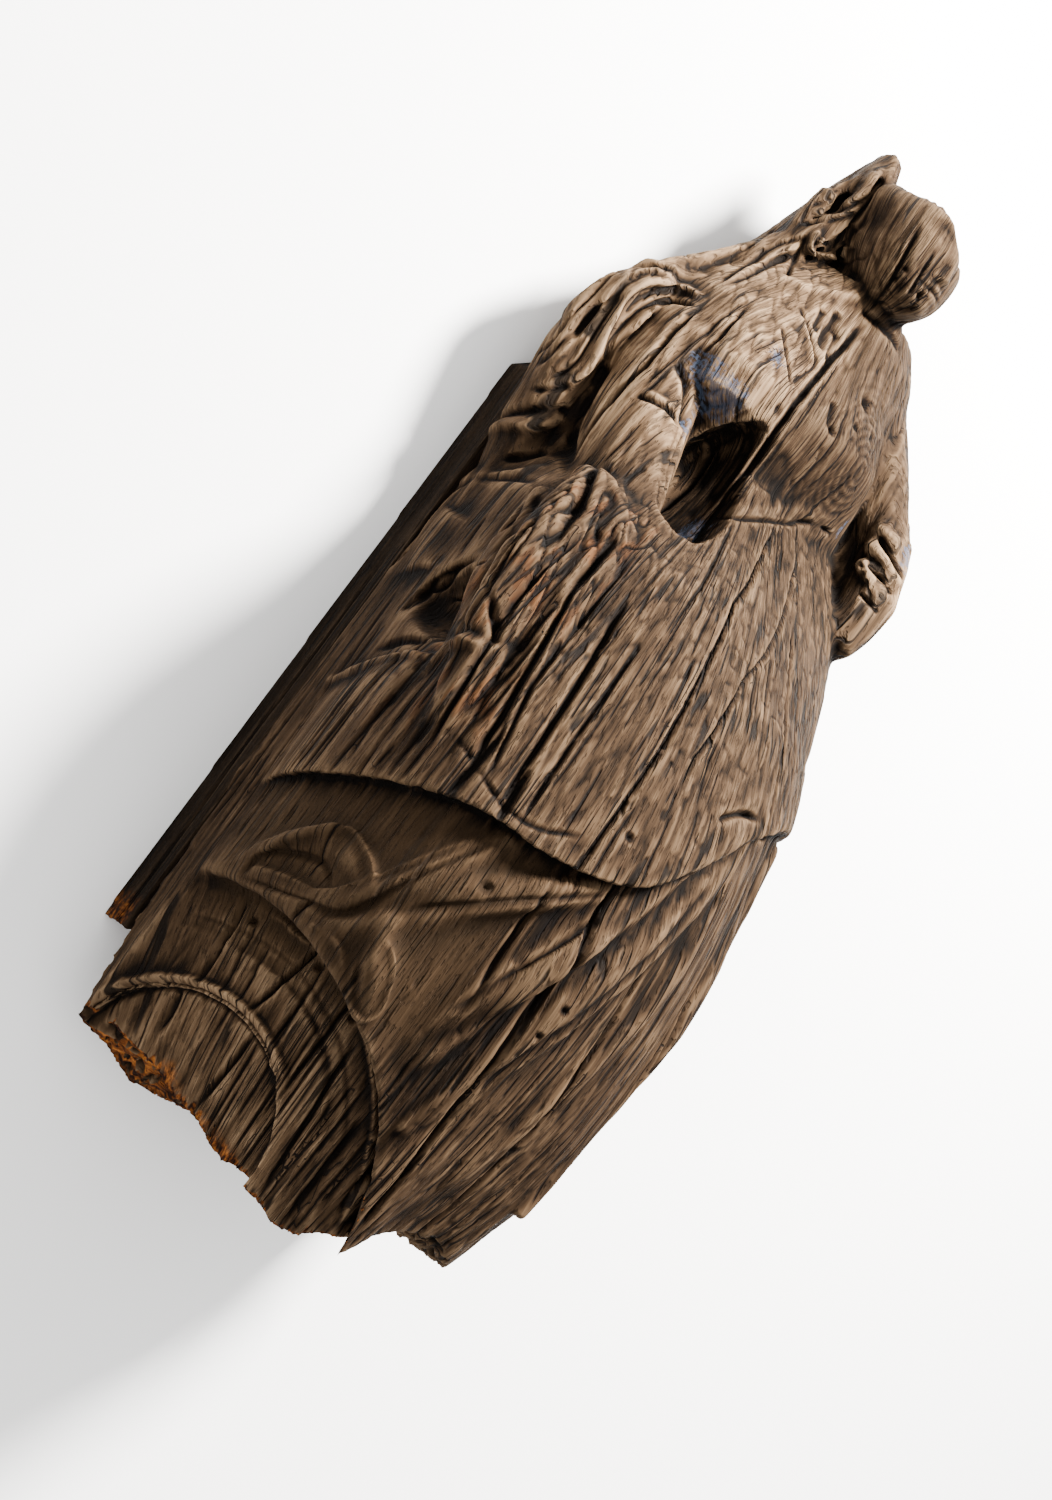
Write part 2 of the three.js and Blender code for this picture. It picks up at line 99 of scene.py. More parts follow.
def read_edges(piece):
    flat = np.empty(len(piece.data.edges) * 2, dtype=np.int64)
    piece.data.edges.foreach_get("vertices", flat)
    return flat.reshape(-1, 2)


def smoothed(points, edges, strength, rounds):
    """Every point moved toward the middle of its neighbours, as far as its strength says"""
    first, second = edges.T
    ends = np.concatenate([first, second])
    others = np.concatenate([second, first])
    degree = np.bincount(ends, minlength=len(points))[:, None]
    for _ in range(rounds):
        middle = np.stack([np.bincount(ends, points[others, k], len(points)) for k in range(3)], 1)
        points = points + (middle / degree - points) * strength[:, None]
    return points


LATTICE_SIDE = 64
LATTICE = np.random.default_rng(11).uniform(-1, 1, (LATTICE_SIDE, LATTICE_SIDE, LATTICE_SIDE))
LATTICE_START = 977.0


def noise(points, cell, shift=0.0):
    """Smooth noise from -1 to 1, whose lumps measure cell millimetres along X, Y and Z"""
    place = points / np.array(cell, float) + shift + LATTICE_START
    corner = np.floor(place).astype(np.int64)
    t = place - corner
    t = t * t * (3 - 2 * t)
    low, high = corner % LATTICE_SIDE, (corner + 1) % LATTICE_SIDE
    total = 0
    for pick in range(8):
        sides = [(pick >> k) & 1 for k in range(3)]
        index = [high[:, k] if sides[k] else low[:, k] for k in range(3)]
        weight = np.prod([t[:, k] if sides[k] else 1 - t[:, k] for k in range(3)], axis=0)
        total = total + LATTICE[index[0], index[1], index[2]] * weight
    return total


def ease(value, start, end):
    """0 before start, 1 after end, and a smooth rise between them"""
    t = np.clip((value - start) / (end - start), 0, 1)
    return t * t * (3 - 2 * t)


def between(value, start, full, fade, end):
    """1 from full to fade, and 0 outside start and end"""
    return ease(value, start, full) * (1 - ease(value, fade, end))


def bell(value, width):
    """1 at 0, and less with distance from it"""
    return np.exp(-((value / width) ** 2))


def round_pith(points):
    """Each point's angle about the timber's pith, in degrees from the left side, and its distance"""
    x, z = points[:, 0], points[:, 2] - PITH_Z
    return np.degrees(np.arctan2(z, x)) % 360, np.hypot(x, z)


def near(points, middles):
    """1 at each (middle, radius) and less with distance from it"""
    spots = [bell(np.linalg.norm(points - np.array(at), axis=1), size) for at, size in middles]
    return np.clip(sum(spots), 0, 1)


timber = fine_skin(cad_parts["figurehead"], "figurehead_timber", SKIN_STEP)
raw = read_points(timber)
edges = read_edges(timber)
angle = round_pith(raw)[0]
low_mm, high_mm = (np.array(corner) * TO_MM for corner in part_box("figurehead"))

# The broad cloth is rounded well, and the hem, head, arms, hollows and scroll keep their edges.
# HEM is the overskirt's edge as (degrees about the pith, height)
HEM = [
    (45, -95), (69, -100), (93, -265), (110, -308), (131, -318), (149, -342), (163, -372), (182, -402),
    (200, -408),
]
hem_angles, hem_heights = np.array(HEM).T
above_hem = raw[:, 1] - np.interp(angle, hem_angles, hem_heights)
KEPT_SHARP = [
    ((-120, 210, 240), 110), ((-170, 320, 200), 70), ((262, 310, 220), 80), ((-30, 590, 190), 80),
    ((-130, 620, 140), 70), ((-230, 330, 130), 90), ((-240, -110, 250), 90), ((-120, 60, 300), 60),
]
ROUNDS_EVERYWHERE, ROUNDS_ON_CLOTH = 6, 50
sharp = np.maximum.reduce([bell(above_hem, 20), near(raw, KEPT_SHARP), ease(-raw[:, 1], 520, 600)])
shape = smoothed(raw, edges, np.full(len(raw), 0.5), ROUNDS_EVERYWHERE)
shape = smoothed(shape, edges, 0.5 * (1 - np.clip(sharp, 0, 1)), ROUNDS_ON_CLOTH)
write_points(timber, shape)
normals = read_normals(timber)
surface = BVHTree.FromPolygons(
    [Vector(p) for p in shape], [tuple(f.vertices) for f in timber.data.polygons])

# Rays start OUTSIDE the timber, and where one misses, the surface counts as HALF_WIDTH from the pith
OUTSIDE, HALF_WIDTH = 700, 250


def on_timber(stop):
    """The timber's surface at (degrees about the pith, height), or nearest to a point (x, y, z)"""
    if len(stop) == 3:
        return np.array(surface.find_nearest(Vector(stop))[0])
    degrees, height = stop
    out = Vector((math.cos(math.radians(degrees)), 0, math.sin(math.radians(degrees))))
    start = Vector((0, height, PITH_Z)) + out * OUTSIDE
    struck = surface.ray_cast(start, -out)[0]
    return np.array(struck if struck else start - out * (OUTSIDE - HALF_WIDTH))


def beside(route, points, reach):
    """Distance of each point within reach of a route, and its place along it from 0 to 1"""
    route = np.array(route, float)
    lengths = np.linalg.norm(np.diff(route, axis=0), axis=1)
    starts = np.concatenate([[0], np.cumsum(lengths)])
    best = np.full(len(points), 1e9)
    place = np.zeros(len(points))
    low, high = route.min(0) - reach, route.max(0) + reach
    close = np.flatnonzero(np.all((points > low) & (points < high), axis=1))
    for a, b, start, length in zip(route[:-1], route[1:], starts, lengths):
        t = np.clip((points[close] - a) @ (b - a) / length**2, 0, 1)
        away = np.linalg.norm(points[close] - a - t[:, None] * (b - a), axis=1)
        closer = away < best[close]
        best[close[closer]] = away[closer]
        place[close[closer]] = (start + t[closer] * length) / starts[-1]
    return best, place


def curve_through(stops, steps=8):
    """A smooth route through the stops"""
    stops = [np.array(stop, float) for stop in stops]
    padded = [2 * stops[0] - stops[1]] + stops + [2 * stops[-1] - stops[-2]]
    route = []
    for a, b, c, d in zip(padded, padded[1:], padded[2:], padded[3:]):
        for t in np.linspace(0, 1, steps, endpoint=False):
            route.append(0.5 * (2 * b + (c - a) * t + (2 * a - 5 * b + 4 * c - d) * t**2
                                + (3 * b - a - 3 * c + d) * t**3))
    return np.array(route + [stops[-1]])


DEEPEST_CUT = 11


def carved(strokes, points, fade=0.14):
    """Ridges (height above 0) and grooves, each (stops on the timber, half width, height)"""
    total = np.zeros(len(points))
    for stops, width, height in strokes:
        route = curve_through([on_timber(stop) for stop in stops])
        away, place = beside(route, points, 3 * width)
        total += height * bell(away, width) * ease(place, 0, fade) * (1 - ease(place, 1 - fade, 1))
    return np.clip(total, -DEEPEST_CUT, DEEPEST_CUT)


# The carving: strokes of (stops on the timber, half width, height), cut below or raised above 0.
# HAIR includes the locks on her right shoulder, and SIDE is the worn cloth at her right hip
DRAPERY = [
    ([(93, -270), (109, -345), (125, -430), (139, -500), (146, -520)], 15, 8),
    ([(88, -262), (111, -352), (126, -420), (133, -460)], 4, -6),
    ([(124, -322), (133, -410), (141, -488), (154, -502), (171, -518)], 5, -9),
    ([(127, -330), (137, -415), (146, -478), (158, -490), (172, -506)], 5, 6),
    ([(171, -507), (164, -464), (156, -427), (151, -409), (143, -426), (138, -456)], 5, 7),
    ([(170, -522), (166, -479), (153, -455), (147, -477)], 4, -6),
    ([(171, -522), (158, -530), (145, -518), (138, -521), (132, -553)], 4, 5),
    ([(133, -480), (127, -505), (124, -546), (126, -570), (131, -553), (134, -512)], 4, 5),
    ([(95, -321), (103, -399), (111, -510)], 6, -11),
    ([(91, -312), (99, -420), (106, -530), (112, -590)], 11, 7),
    ([(70, -110), (84, -265), (98, -400), (107, -500)], 9, 7),
    ([(64, -108), (76, -290), (88, -450), (97, -600)], 7, -6),
    ([(58, -100), (62, -300), (72, -520), (80, -700)], 14, 6),
    ([(40, -96), (42, -300), (48, -560)], 12, -6),
    ([(22, -92), (24, -300), (28, -600)], 12, 5),
    ([(4, -90), (6, -320), (8, -580)], 12, -5),
]
DRESS = [
    ([(164, 491), (156, 476), (145, 458), (136, 445), (137, 419), (139, 392)], 3.6, -6),
    ([(159, 444), (152, 424), (145, 404), (139, 389)], 3.2, -5),
    ([(160, 480), (150, 462), (140, 440)], 6, 4),
    ([(132, 194), (116, 207), (68, 261), (29, 308), (10, 322)], 3, -7),
    ([(130, 208), (114, 224), (66, 282), (28, 328)], 9, 3),
    ([(-240, 235, 205), (-225, 240, 220), (-200, 245, 225), (-180, 240, 230)], 2.8, -5),
    ([(-240, 245, 205), (-220, 250, 220), (-195, 255, 225)], 5, 3),
    ([(-225, 305, 200), (-200, 295, 215), (-185, 270, 220), (-170, 240, 225)], 6, -8),
    ([(-195, 165, 255), (-210, 140, 255), (-240, 90, 285)], 3, -3),
    ([(-260, 285, 130), (-245, 225, 135), (-235, 160, 140), (-280, 70, 250)], 7, -8),
    ([(98, 430), (90, 400), (78, 392)], 5, -6),
    ([(144, -257), (130, -290), (120, -291), (110, -263)], 3.5, -4),
    ([(80, -140), (69, -102), (47, -94)], 4, -12),
    ([(137, 558), (102, 565), (38, 575), (22, 573)], 5, -6),
    ([(-163, 489, 176), (-144, 510, 178), (-120, 520, 189), (-78, 548, 194), (-36, 577, 196)], 8, 3),
]
NECK = [
    ([(-86, 476, 205), (-85, 515, 203)], 5, -7),
    ([(-64, 466, 210), (-62, 496, 208), (-64, 530, 202)], 7, -9),
    ([(-44, 462, 212), (-46, 508, 208)], 5, -7),
]
HAIR = [
    ([(-120, 712, 168), (-127, 672, 152), (-150, 632, 140), (-158, 608, 110)], 3.2, -3),
    ([(-105, 690, 158), (-124, 651, 161), (-137, 625, 140), (-159, 595, 125)], 3.2, -3),
    ([(-112, 659, 166), (-125, 631, 160), (-143, 603, 142), (-159, 589, 126)], 3.0, -3),
    ([(-128, 700, 162), (-143, 661, 146), (-162, 632, 130)], 3.0, -3),
    ([(-113, 700, 164), (-126, 660, 158), (-143, 626, 142), (-160, 600, 118)], 4.5, 6),
    ([(-106, 672, 162), (-124, 641, 161), (-140, 614, 141), (-159, 592, 125)], 4.0, 5),
    ([(-152, 664, 140), (-139, 643, 137), (-132, 620, 140)], 9, 8),
    ([(-141, 585, 154), (-166, 548, 143), (-182, 496, 141), (-209, 441, 156)], 4.6, -5),
    ([(-136, 562, 153), (-148, 534, 142), (-184, 482, 160), (-205, 444, 161)], 4.6, -5),
    ([(-161, 585, 106), (-187, 527, 125), (-201, 489, 123), (-210, 465, 116)], 4.6, -5),
    ([(-140, 574, 152), (-158, 541, 143), (-183, 489, 150), (-207, 442, 158)], 5, 4),
    ([(-141, 588, 154), (-136, 555, 152), (-146, 512, 174)], 4, -7),
    ([(-240, 410, 130), (-275, 395, 115), (-295, 375, 115), (-305, 330, 120), (-300, 295, 120),
      (-310, 240, 120), (-310, 205, 95)], 5, 7),
    ([(-215, 405, 170), (-230, 410, 135), (-270, 385, 130), (-290, 345, 130), (-285, 295, 135),
      (-275, 240, 135), (-280, 205, 130)], 5.5, 8),
    ([(-220, 390, 170), (-235, 385, 140), (-255, 365, 135), (-270, 330, 135), (-270, 290, 135),
      (-260, 260, 130)], 4, -8),
    ([(-230, 420, 130), (-275, 410, 115), (-295, 390, 100), (-315, 355, 105), (-325, 300, 115),
      (-325, 250, 100), (-315, 220, 65)], 4, -7),
    ([(-255, 420, 130), (-285, 410, 100), (-310, 390, 95), (-330, 355, 100), (-330, 305, 100),
      (-330, 255, 80)], 5, 6),
    ([(-300, 325, 110), (-300, 285, 115), (-315, 235, 115), (-315, 205, 90)], 5, -6),
    ([(-245, 375, 135), (-255, 340, 135), (-250, 295, 130), (-250, 250, 135)], 5, 6),
    ([(-295, 350, 130), (-295, 290, 130), (-290, 240, 130), (-295, 200, 115)], 3.4, -6),
    ([(-275, 405, 115), (-295, 385, 115), (-295, 360, 120)], 3.4, -5),
    ([(-225, 405, 155), (-245, 400, 120), (-280, 360, 130), (-280, 310, 130), (-270, 265, 135)], 3, -4),
]
SIDE = [
    ([(-255, 190, 125), (-290, 155, 115), (-300, 135, 80), (-290, 130, 15)], 5, -9),
    ([(-250, 180, 130), (-280, 140, 120), (-300, 120, 90), (-290, 110, 25)], 7, 6),
    ([(-245, 130, 135), (-270, 95, 115), (-280, 65, 55)], 4.5, -9),
    ([(-260, 105, 170), (-275, 70, 145), (-285, 40, 80)], 7, 5),
    ([(-275, 210, 135), (-300, 180, 115), (-290, 180, 35)], 4, -6),
    ([(-270, 70, 195), (-280, 60, 145), (-285, 40, 80), (-290, 15, 50), (-285, -25, 50)], 6, -5),
    ([(-290, 45, 45), (-290, 10, 35), (-285, -30, 55), (-290, -70, 70), (-285, -100, 50)], 5, -12),
    ([(-285, 0, 115), (-290, -45, 110), (-290, -100, 130)], 24, 7),
    ([(-270, 70, 195), (-300, -10, 240), (-285, -75, 190), (-280, -120, 165)], 3.6, -9),
    ([(-290, -60, 195), (-285, -110, 160), (-290, -155, 155)], 3, -7),
    ([(-305, -70, 260), (-260, -105, 180)], 3, -6),
    ([(-285, 50, 235), (-310, -20, 275), (-315, -90, 295)], 6, -12),
    ([(-315, -90, 295), (-300, -120, 330), (-275, -150, 345)], 5, -10),
    ([(-275, -155, 345), (-305, -170, 315), (-295, -205, 235), (-300, -245, 170), (-290, -265, 100)], 7, 8),
    ([(-285, -150, 340), (-310, -155, 305), (-290, -180, 210), (-290, -210, 160)], 6, -8),
]
HAND = [
    ([(192, 366, 219), (224, 355, 234), (264, 346, 236)], 3.4, -10),
    ([(193, 346, 225), (223, 342, 234), (262, 334, 240)], 6, 4),
    ([(200, 327, 227), (228, 322, 235), (256, 315, 243)], 3.4, -9),
    ([(203, 307, 228), (228, 303, 236), (252, 298, 243)], 6, 3),
    ([(206, 288, 230), (230, 284, 238), (250, 281, 244)], 3, -6),
]
EAR = [
    ([(-129, 604, 159), (-136, 592, 156), (-131, 576, 157), (-109, 582, 150), (-99, 591, 157),
      (-80, 606, 154)], 4.2, 10),
    ([(-128, 588, 158), (-124, 594, 160), (-126, 599, 159)], 3, 6),
    ([(-83, 603, 158), (-80, 614, 160), (-86, 622, 160)], 3.4, 7),
    ([(-118, 600, 158), (-112, 594, 156)], 6, -7),
    ([(-101, 725, 161), (-103, 660, 160), (-100, 600, 158)], 2.4, -9),
]
relief = np.zeros(len(shape))
for strokes in (DRAPERY, DRESS, NECK, HAIR, SIDE, HAND, EAR):
    relief += carved(strokes, shape)

# Her face: calm, on plain proportions, and worn nearly smooth. The crown above it is lost
HEAD_MIDDLE = np.array([-22.0, 669.0, 160.0])
HEAD_LEAN, HEAD_TURN = math.radians(9), math.radians(12)
FACE_LEFT = 0.65
head_up = np.array([-math.sin(HEAD_LEAN), math.cos(HEAD_LEAN), 0])
head_forward = np.array([math.sin(HEAD_TURN), 0, math.cos(HEAD_TURN)])
head_left = np.cross(head_up, head_forward)
head_axes = np.stack([head_left, head_up, head_forward], 1)
aside, up, forward = ((shape - HEAD_MIDDLE) @ head_axes).T
EYE_LINE, EYE_APART = 27, 30
BROW_LINE, NOSE_LINE = 44, -24
UPPER_LIP, MOUTH_LINE, LOWER_LIP, CHIN = -39, -45, -51, -72
features = 5 * bell(up - BROW_LINE, 9) * bell(abs(aside) - EYE_APART, 26)
features -= 9 * bell(up - EYE_LINE, 12) * bell(abs(aside) - EYE_APART, 17)
features += 5 * bell(up - EYE_LINE + 1, 7) * bell(abs(aside) - EYE_APART, 12)
features += 12 * ease(-up, -EYE_LINE - 8, 20) * ease(up, -34, -22) * bell(aside, 11)
features += 4 * bell(up - NOSE_LINE, 7) * bell(abs(aside) - 11, 6)
features += 5 * (bell(up - UPPER_LIP, 5) + bell(up - LOWER_LIP, 5)) * bell(aside, 19)
features -= 5 * bell(up - MOUTH_LINE, 2.6) * bell(aside, 22)
features += 7 * bell(up - CHIN, 12) * bell(aside, 20)
relief += FACE_LEFT * features * ease(forward, 30, 60)

# Rotted hollows, knots and nail holes: (place on the timber, radius, depth)
HOLLOWS = [
    ((146, 492), 16, 5), ((141, 506), 6, 5), ((51, 470), 8, 11), ((61, 428), 5, 6), ((40, 440), 5, 5),
    ((121, -375), 7, 9), ((105, -415), 7, 6), ((101, -230), 5, 7), ((91, -430), 4, 6), ((92, -470), 4, 6),
    ((122, 620), 3.5, 6), ((98, 610), 3.5, 6), ((124, 606), 3.2, 6), ((136, 352), 6, 6),
    ((173, -545), 4, 9), ((149, -545), 4, 9), ((128, -570), 4, 9),
]
for place, size, deep in HOLLOWS:
    relief -= deep * bell(np.linalg.norm(shape - on_timber(place), axis=1), size)

# The scroll: rings about the middle of its flat face, cut one inside another
SCROLL_MIDDLE = np.array([-172.0, -772.0, 186.0])
SCROLL_RADIUS = 268.0
scroll_out = np.array([-0.7, -0.17, 0.67])
scroll_out /= np.linalg.norm(scroll_out)
scroll_up = np.array([0, 1, 0]) - scroll_out * scroll_out[1]
scroll_up /= np.linalg.norm(scroll_up)
scroll_front = np.cross(scroll_up, scroll_out)
from_middle = shape - SCROLL_MIDDLE
ring = np.hypot(from_middle @ scroll_up, from_middle @ scroll_front) + 1.5 * noise(shape, (60, 60, 60))
turned = np.degrees(np.arctan2(from_middle @ scroll_front, from_middle @ scroll_up))
on_scroll = bell(from_middle @ scroll_out, 26) * ease(normals @ scroll_out, 0.5, 0.85)
# Rings as (radius over the scroll's, half width, height, first and last angle)
RINGS = [
    (0.985, 5.0, -13, 14, 100), (0.93, 4.0, 5, 0, 100), (0.81, 3.2, -1.4, -20, 70),
    (0.74, 3.0, -0.9, -8, 40), (0.545, 4.0, 4, -60, 40), (0.50, 4.0, -8, -70, 30),
]
for share, width, height, first, last in RINGS:
    arc = ease(turned, first - 12, first + 6) * (1 - ease(turned, last - 6, last + 12))
    relief += height * bell(ring - share * SCROLL_RADIUS, width) * arc * on_scroll

# Growth rings stand proud where the left breast cuts through them
RING_APART, RING_HEIGHT = 9, 0.9
knot_at = on_timber((45, 385))
growth = np.linalg.norm((shape - knot_at) * np.array([1, 0.62, 1]), axis=1)
growth += 3 * noise(shape, (50, 80, 50))
relief += RING_HEIGHT * np.sin(growth * 2 * np.pi / RING_APART) * bell(growth, 74)

# Shakes: (degrees and height at points along it, half width, depth)
SHAKES = [
    ([(120, 545), (128, 470), (131, 380), (130, 175), (129, 110)], 2.8, 16),
    ([(132, 680), (125, 600), (124, 560)], 2.0, 8),
    ([(112, 665), (104, 590)], 1.5, 7),
    ([(99, 625), (92, 590)], 1.3, 6),
    ([(80, 240), (100, 100), (102, 10), (106, -195), (108, -318)], 1.7, 11),
    ([(117, 205), (117, 85), (119, 0)], 1.3, 8),
    ([(46, 260), (85, 25), (94, -100), (95, -150)], 1.3, 8),
    ([(146, 60), (141, -120), (138, -240), (136, -312)], 2.6, 14),
    ([(133, 0), (130, -160), (128, -312)], 2.4, 14),
    ([(124, -40), (124, -180), (123, -300)], 1.3, 8),
    ([(136, -215), (137, -290), (138, -330)], 4.2, 15),
    ([(128, -235), (127, -300), (127, -322)], 3.8, 14),
    ([(96, -262), (96, -505), (92, -760)], 1.9, 12),
    ([(110, -325), (109, -480)], 1.5, 9),
    ([(131, -520), (134, -690)], 1.6, 10),
    ([(122, -590), (115, -790)], 1.7, 10),
    ([(147, -480), (163, -640)], 1.5, 9),
    ([(159, -640), (166, -760)], 1.5, 9),
    ([(147, -545), (149, -660)], 1.3, 8),
    ([(176, -520), (179, -655)], 1.3, 8),
    ([(185, -650), (186, -705)], 1.3, 7),
    ([(179, 405), (177, 346), (175, 275), (177, 186), (178, 116)], 1.5, 8),
    ([(170, 437), (167, 374), (167, 328)], 1.2, 6),
    ([(163, 138), (155, 56), (152, -18)], 5.0, 20),
    ([(145, 62), (144, 5), (143, -53)], 5.0, 22),
    ([(150, 40), (150, -120), (146, -300)], 1.5, 9),
    ([(158, 20), (155, -110)], 1.3, 8),
    ([(139, 40), (138, -160), (133, -280)], 1.3, 8),
    ([(174, -62), (181, -111), (181, -154)], 1.5, 8),
    ([(163, -65), (176, -104)], 1.5, 8),
    ([(205, -5), (204, -70)], 1.8, 8),
    ([(57, 150), (60, -60), (62, -230)], 1.3, 8),
    ([(36, 60), (34, -160), (32, -360)], 1.3, 8),
    ([(14, 20), (12, -260), (10, -520)], 1.5, 9),
    ([(74, -330), (70, -560), (68, -740)], 1.5, 9),
    ([(48, -300), (46, -640)], 1.3, 8),
    ([(104, -650), (101, -800)], 3.0, 12),
]
# Hairline checks: (angles and heights that they fill, how many)
CHECKED = [
    ((42, 136), (-300, 190), 18), ((95, 178), (-790, -500), 16), ((58, 118), (-760, -330), 22),
    ((2, 60), (-700, -100), 16), ((104, 176), (130, 500), 16), ((138, 166), (-320, 60), 16),
    ((168, 212), (-420, 80), 18), ((150, 200), (-470, -250), 12), ((88, 140), (600, 690), 10),
    ((20, 90), (190, 460), 12),
]
CHECK_DEPTH = 3
FAR_ACROSS = 9.0
TAPER = 46
picks = np.random.default_rng(5)
for angles, heights, count in CHECKED:
    for _ in range(count):
        at = picks.uniform(*angles)
        start = picks.uniform(*heights)
        length = picks.uniform(60, 240)
        end = max(start - length, heights[0] - 20)
        route = [(at, start), (at + picks.uniform(-1.6, 1.6), end)]
        SHAKES.append((route, picks.uniform(0.5, 0.9), CHECK_DEPTH))


def shakes(points):
    """How deep each point lies in a shake, how far it is across the nearest one, and how near"""
    at, out = round_pith(points)
    depth, nearness = np.zeros(len(points)), np.zeros(len(points))
    across = np.full(len(points), FAR_ACROSS)
    wander = 0.8 * noise(points, (900, 20, 900)) + 2.4 * noise(points, (900, 140, 900), 5)
    y = points[:, 1]
    for route, width, deep in SHAKES:
        angles, heights = np.array(route, float)[::-1].T
        close = np.flatnonzero((y > heights[0] - 12) & (y < heights[-1] + 12))
        gap = (np.interp(y[close], heights, angles) - at[close] + 180) % 360 - 180
        sideways = np.radians(gap) * out[close] + wander[close]
        run = min(TAPER, (heights[-1] - heights[0]) * 0.4)
        bottom, top = heights[0], heights[-1]
        taper = between(y[close], bottom - 8, bottom + run, top - run, top + 8)
        depth[close] = np.maximum(depth[close], deep * taper * bell(sideways, width + 1.6))
        strength = taper * bell(sideways, 9)
        wins = strength > nearness[close]
        nearness[close[wins]] = strength[wins]
        across[close[wins]] = sideways[wins] / width
    return depth, np.clip(across, -FAR_ACROSS, FAR_ACROSS), nearness


# Raised late wood: long low flutes that run with the timber, fainter where the carving is smooth
smooth_cloth = ease(-above_hem, -6, 30) * between(angle, 96, 130, 205, 215)
smooth_side = between(angle, 164, 176, 203, 212) * ease(-shape[:, 1], -190, -120)
rough = 1 - 0.7 * np.maximum(smooth_cloth, smooth_side)
flutes = noise(shape, (12, 600, 12), 4.4) + 0.7 * noise(shape, (8, 300, 8))
flutes += 0.3 * noise(shape, (34, 400, 34), 9)
pits = ease(noise(shape, (6, 26, 6), 6.0), 0.5, 0.8) * ease(noise(shape, (90, 140, 90), 2.0), 0.1, 0.5)
furrows = np.clip(1 - 3 * np.abs(noise(shape, (10, 520, 10), 8.0)), 0, 1)
relief += rough * (0.9 * flutes - 1.4 * pits - 1.3 * furrows)

# Splinters down the right front of the overskirt, where its carved surface has broken away
splintered = between(angle, 133, 140, 160, 166) * between(shape[:, 1], -330, -250, 90, 120)
splinters = np.clip(1 - 3 * np.abs(noise(shape, (12, 460, 12), 1.0)), 0, 1)
relief += splintered * (3.5 * noise(shape, (17, 380, 17), 1.0) - 4.5 * splinters)

# Shakes run in toward a line a little behind the pith, and the flat back stays plain
facing_back = ease(-normals[:, 2], 0.75, 0.95) * (1 - ease(shape[:, 2], 66, 90))
depth = shakes(shape)[0] * (1 - facing_back)
relief *= 1 - facing_back
SHAKES_MEET_Z = PITH_Z - 40
inward = np.stack([-shape[:, 0], 0 * shape[:, 0], SHAKES_MEET_Z - shape[:, 2]], 1)
inward /= np.linalg.norm(inward, axis=1)[:, None]
moved = shape + normals * relief[:, None] + inward * depth[:, None]

# The foot has rotted away in fibres round a soft hollow, and the crown ends in short teeth
ROTTED = [((-150, -775, 228), 34), ((-195, -755, 180), 34), ((-110, -800, 250), 34)]
moved -= scroll_out * (near(shape, ROTTED) * (9 + 9 * noise(shape, (9, 60, 9), 5)))[:, None]
CROWN_EDGE = [((-98, 700, 188), 24)]
CROWN_FULLER = 12
full_edge = near(shape, CROWN_EDGE)
moved += normals * (CROWN_FULLER * full_edge)[:, None]
frayed = np.abs(9 * noise(shape, (7, 400, 7), 2) + 12 * noise(shape, (22, 400, 22), 7))
foot = ease(-normals[:, 1], 0.35, 0.8) * ease(-shape[:, 1], 640, 700)
crown = ease(normals[:, 1], 0.35, 0.8) * ease(shape[:, 1], 690, 720)
moved[:, 1] += frayed * foot - (1 + 0.5 * frayed) * crown * (1 - full_edge)
moved = np.clip(moved, low_mm, high_mm)
write_points(timber, moved)

thin = timber.modifiers.new("thin", "DECIMATE")
thin.ratio = MOST_TRIANGLES / (2 * len(timber.data.polygons))
settle(timber)

# The timber's finish: pale raised fibres and worn ridges, brown hollows that go toward near-black as
# painted shade, and near-black shakes. Blue paint is left under the breast and on the sleeve, and the
# broken foot is orange with brown rot.
STAND_OFF_ROUNDS, FULL_STAND_OFF = 10, 3.4


def keep_mask(piece, name, values):
    """A number on each of the piece's points, which its material reads by name"""
    mask = piece.data.attributes.new(name, "FLOAT", "POINT")
    mask.data.foreach_set("value", values)


def keep_grain(piece, place):
    """Where each point lies in the grain, in metres: across it, along it and in from the bark"""
    grain = piece.data.attributes.new("grain", "FLOAT_VECTOR", "POINT")
    grain.data.foreach_set("vector", place.ravel())


def ridge_wear_and_hollow_shade(piece):
    """Above 0.5 on worn ridges and below it in hollows for painted shade, from how far the surface stands
    off its average
    """
    points = read_points(piece)
    rounded = smoothed(points, read_edges(piece), np.full(len(points), 0.5), STAND_OFF_ROUNDS)
    stands = np.einsum("ij,ij->i", points - rounded, read_normals(piece))
    return np.clip(0.5 + stands / FULL_STAND_OFF, 0, 1)


final = read_points(timber)
final_normals = read_normals(timber)
final_angle, final_radius = round_pith(final)
below_hem = np.interp(final_angle, hem_angles, hem_heights) - final[:, 1]
shake_across, shake_near = shakes(final)[1:]
AROUND, INWARD = 0.19, 0.1
away_from_back = np.radians((final_angle + 90) % 360)
grain_place = [away_from_back * AROUND, final[:, 1] / TO_MM, final_radius / TO_MM * INWARD]
keep_grain(timber, np.stack(grain_place, 1))
keep_mask(timber, "across", shake_across)
keep_mask(timber, "near", shake_near)
keep_mask(timber, "worn", ridge_wear_and_hollow_shade(timber))

ROT_AT_EDGE = [((-40, -800, 262), 26), ((20, -790, 262), 18), ((60, -775, 240), 12)]
broken_end = ease(-final_normals[:, 1], 0.3, 0.7) * ease(-final[:, 1], 690, 730)
rot = near(final, ROTTED) * 1.1 + near(final, ROT_AT_EDGE)
rot = np.maximum(rot, broken_end * (1 - ease(final[:, 0], -40, 60)))
keep_mask(timber, "rot", np.clip(rot, 0, 1))

PAINTED = [
    ((164, 320), 26), ((158, 300), 24), ((152, 318), 18), ((161, 252), 14), ((136, 172), 20),
    ((140, 150), 14), ((14, 372), 22), ((18, 335), 14), ((150, 400), 16),
]
keep_mask(timber, "paint", near(final, [(tuple(on_timber(at)), size) for at, size in PAINTED]))

